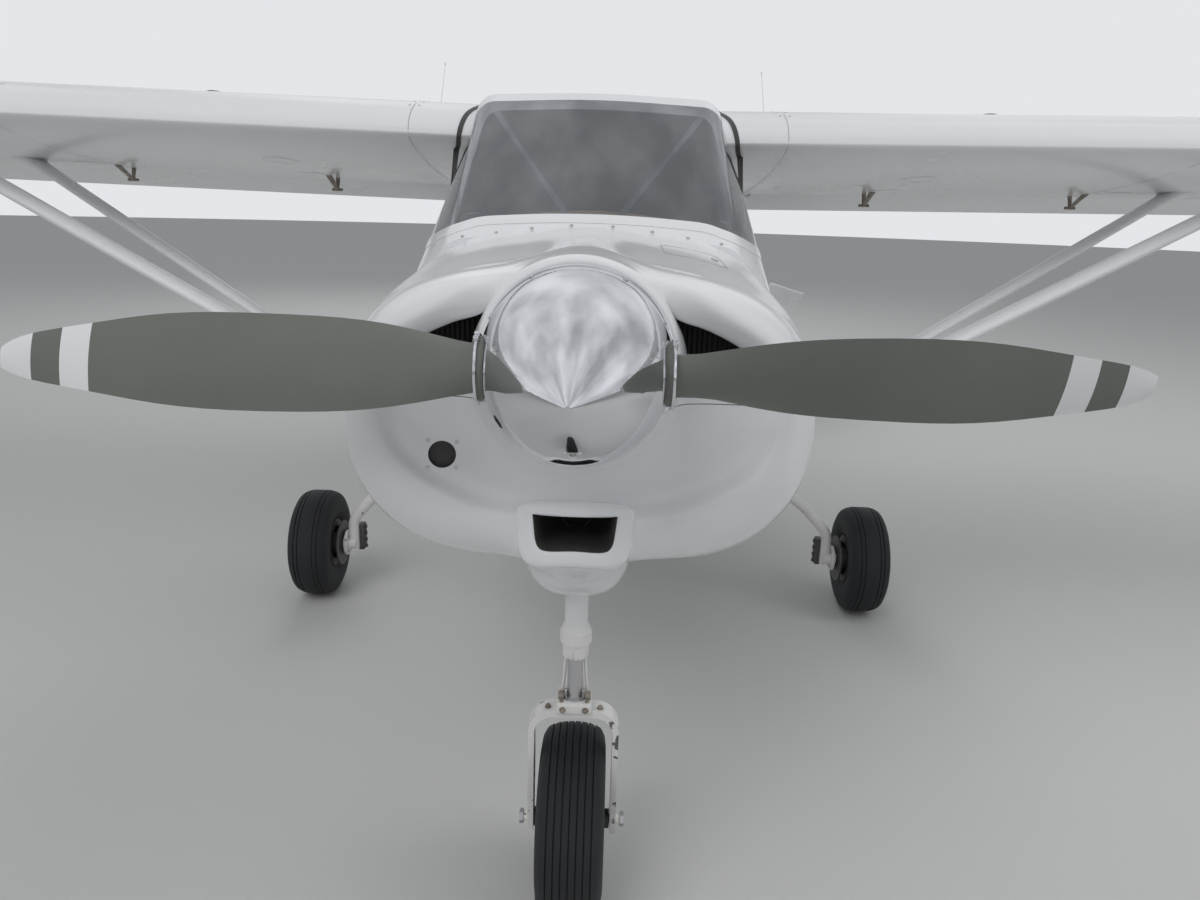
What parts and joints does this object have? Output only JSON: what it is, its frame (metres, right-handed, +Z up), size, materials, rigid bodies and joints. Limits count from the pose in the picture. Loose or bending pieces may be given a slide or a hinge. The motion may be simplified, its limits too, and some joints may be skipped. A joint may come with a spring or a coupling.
{
  "type": "strut-braced high-wing bush plane on three wheels",
  "caption": "High-wing, strut-braced light bush plane with a nose wheel, two-blade propeller, side doors, and hinged flaps, ailerons, elevator and rudder.",
  "frame": {"origin": "on the ground under the middle of the box, half way between the spinner tip and the rudder's trailing edge", "axes": "+Z up, -Y to the nose, +X to the aircraft's left wing"},
  "size_m": [10.6, 7.0936, 2.38],
  "materials": {
    "white_paint": "gloss",
    "white_gelcoat": "gloss",
    "tinted_acrylic": "clear",
    "polished_aluminium": "mirror polished",
    "grey_blade": "matt",
    "dark_steel": "matt",
    "satin_steel": "satin",
    "tyre_rubber": "matt",
    "wheel_alloy": "satin",
    "cabin_trim": "matt",
    "tan_trim": "matt",
    "seat_cloth": "woven",
    "black_metal": "matt"
  },
  "bodies": {
    "propeller": {"propeller_blades": "grey_blade", "propeller_hub": "satin_steel", "spinner": "polished_aluminium"},
    "nose_fork": {"nose_fork": "white_paint"},
    "nose_wheel": {"nose_tyre": "tyre_rubber", "nose_wheel": "wheel_alloy"},
    "door_left": {"door_left": "white_gelcoat", "door_window_left": "tinted_acrylic"},
    "main_wheel_left": {"main_tyre_left": "tyre_rubber", "main_wheel_left": "wheel_alloy"},
    "flap_left": {"flap_left": "white_paint"},
    "aileron_left": {"aileron_left": "white_paint"},
    "door_right": {"door_right": "white_gelcoat", "door_window_right": "tinted_acrylic"},
    "main_wheel_right": {"main_tyre_right": "tyre_rubber", "main_wheel_right": "wheel_alloy"},
    "flap_right": {"flap_right": "white_paint"},
    "aileron_right": {"aileron_right": "white_paint"},
    "elevator": {"elevator": "white_paint"},
    "rudder": {"rudder": "white_paint"},
    "root": {"cabin_floor": "cabin_trim", "cabin_shell": "white_gelcoat", "control_sticks": "black_metal", "cowl_lower": "white_gelcoat", "cowl_upper": "white_gelcoat", "engine_block": "dark_steel", "engine_mount": "black_metal", "exhaust_stub": "dark_steel", "fin": "white_paint", "firewall": "satin_steel", "glareshield": "tan_trim", "instrument_panel": "cabin_trim", "main_brake_left": "black_metal", "main_brake_right": "black_metal", "main_leg_left": "white_paint", "main_leg_right": "white_paint", "nose_leg_tube": "white_paint", "quarter_window_left": "tinted_acrylic", "quarter_window_right": "tinted_acrylic", "roof_brace": "satin_steel", "seat_base_left": "black_metal", "seat_base_right": "black_metal", "seat_left": "seat_cloth", "seat_right": "seat_cloth", "tail_cone": "white_gelcoat", "tailplane": "white_paint", "tie_downs": "satin_steel", "windscreen": "tinted_acrylic", "wing_left": "white_paint", "wing_right": "white_paint", "wing_struts_left": "white_paint", "wing_struts_right": "white_paint", "wing_tip_left": "white_paint", "wing_tip_right": "white_paint"}
  },
  "joints": [
    {"name": "propeller_spin", "type": "hinge", "parent": "root", "child": "propeller", "pos_m": [0, -3.27, 1.385], "axis": [0, -1, 0], "continuous": true},
    {"name": "nose_steering", "type": "hinge", "parent": "root", "child": "nose_fork", "pos_m": [0, -2.86, 0.6], "axis": [0, 0, 1], "range_deg": [-30, 30]},
    {"name": "nose_wheel_spin", "type": "hinge", "parent": "nose_fork", "child": "nose_wheel", "pos_m": [0, -2.86, 0.222], "axis": [1, 0, 0], "continuous": true},
    {"name": "main_wheel_left_spin", "type": "hinge", "parent": "root", "child": "main_wheel_left", "pos_m": [1.15, -1.12, 0.222], "axis": [1, 0, 0], "continuous": true},
    {"name": "door_left_hinge", "type": "hinge", "parent": "root", "child": "door_left", "pos_m": [0.582, -1.636, 1], "axis": [0.1044, 0, -0.9945], "range_deg": [0, 60]},
    {"name": "main_wheel_right_spin", "type": "hinge", "parent": "root", "child": "main_wheel_right", "pos_m": [-1.15, -1.12, 0.222], "axis": [1, 0, 0], "continuous": true},
    {"name": "door_right_hinge", "type": "hinge", "parent": "root", "child": "door_right", "pos_m": [-0.582, -1.636, 1], "axis": [0.1044, 0, 0.9945], "range_deg": [0, 60]},
    {"name": "flap_left_hinge", "type": "hinge", "parent": "root", "child": "flap_left", "pos_m": [1.7, -0.70952, 1.78768], "axis": [-0.9998, 0, -0.0175], "range_deg": [-10, 25]},
    {"name": "aileron_left_hinge", "type": "hinge", "parent": "root", "child": "aileron_left", "pos_m": [3.9, -0.70952, 1.82608], "axis": [0.9998, 0, 0.0175], "range_deg": [-18, 18]},
    {"name": "flap_right_hinge", "type": "hinge", "parent": "root", "child": "flap_right", "pos_m": [-1.7, -0.70952, 1.78768], "axis": [-0.9998, 0, 0.0175], "range_deg": [-10, 25]},
    {"name": "aileron_right_hinge", "type": "hinge", "parent": "root", "child": "aileron_right", "pos_m": [-3.9, -0.70952, 1.82608], "axis": [0.9998, 0, -0.0175], "range_deg": [-18, 18]},
    {"name": "elevator_hinge", "type": "hinge", "parent": "root", "child": "elevator", "pos_m": [0, 3.2, 0.89], "axis": [1, 0, 0], "range_deg": [0, 48]},
    {"name": "rudder_hinge", "type": "hinge", "parent": "root", "child": "rudder", "pos_m": [0, 3.215, 1.8], "axis": [0, 0, 1], "range_deg": [-25, 25]}
  ],
  "couplings": [
    {"joint": "flap_right_hinge", "follows": "flap_left_hinge", "ratio": 1},
    {"joint": "aileron_right_hinge", "follows": "aileron_left_hinge", "ratio": -1}
  ]
}
